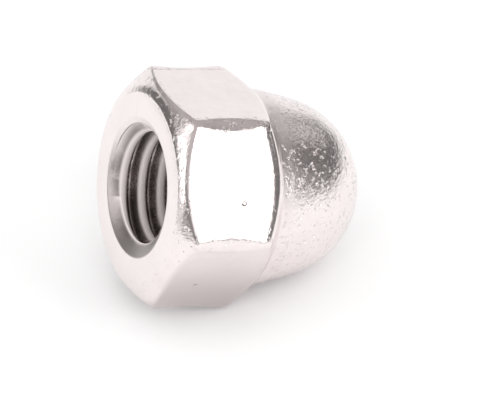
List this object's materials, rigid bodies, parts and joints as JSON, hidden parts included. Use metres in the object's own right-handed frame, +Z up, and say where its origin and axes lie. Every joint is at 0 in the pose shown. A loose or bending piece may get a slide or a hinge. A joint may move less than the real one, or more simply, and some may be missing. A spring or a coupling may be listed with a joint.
{
  "type": "cap nut",
  "caption": "Hexagon nut closed by a domed end, with a blind right-hand threaded hole, lying on one flat.",
  "frame": {"origin": "on the surface that the nut lies on, below the middle of its bounding box; the thread axis is 4 mm above it", "axes": "thread axis along X, the open mouth towards -X and the dome towards +X; +Z up, square to the hexagon flat that the nut lies on"},
  "size_m": [0.0088, 0.009, 0.008],
  "materials": {
    "bright_plated_steel": "bright nickel plating over turned steel, lightly marked from tumbling, with a faint grain"
  },
  "bodies": {
    "root": {"cap_nut": "bright_plated_steel"}
  },
  "joints": []
}
